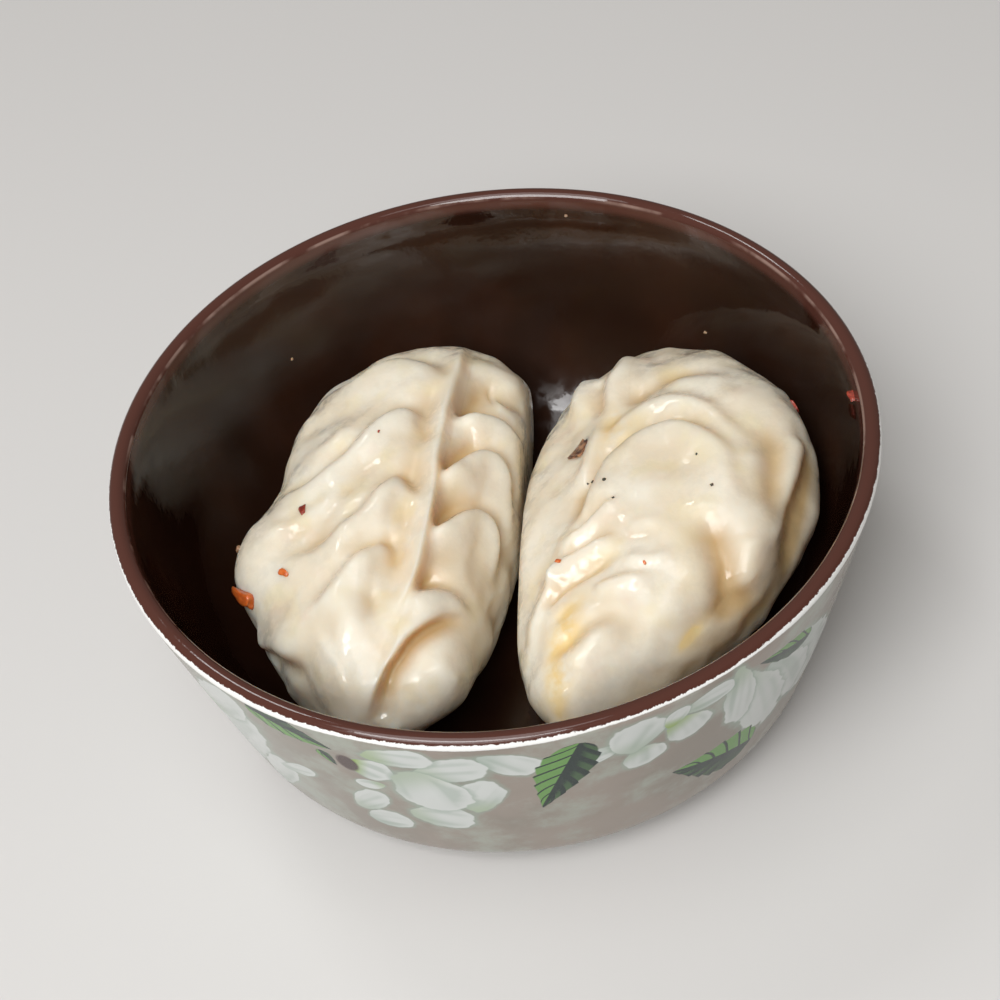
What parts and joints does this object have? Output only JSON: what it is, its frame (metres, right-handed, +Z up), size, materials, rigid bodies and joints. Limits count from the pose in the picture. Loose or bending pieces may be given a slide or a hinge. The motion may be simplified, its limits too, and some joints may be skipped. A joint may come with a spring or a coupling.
{
  "type": "momo dumplings in a bowl",
  "caption": "Steamed momo dumplings with pleated seams, resting in a small flared bowl with a glossy brown inside and a floral outside.",
  "frame": {"origin": "under the middle of the bowl, on the surface that its foot ring stands on", "axes": "+Z up, the bowl's axis; -Y is the front, the side from which the near tips of both dumplings are seen; +X to the right"},
  "size_m": [0.114, 0.114, 0.0465],
  "materials": {
    "bowl_glaze": "glossy moulded melamine, dark brown inside, pale floral ware outside",
    "steamed_dough": "moist, slightly translucent steamed wheat dough"
  },
  "bodies": {
    "root": {"bowl": "bowl_glaze", "momo_left": "steamed_dough", "momo_right": "steamed_dough"}
  },
  "joints": []
}
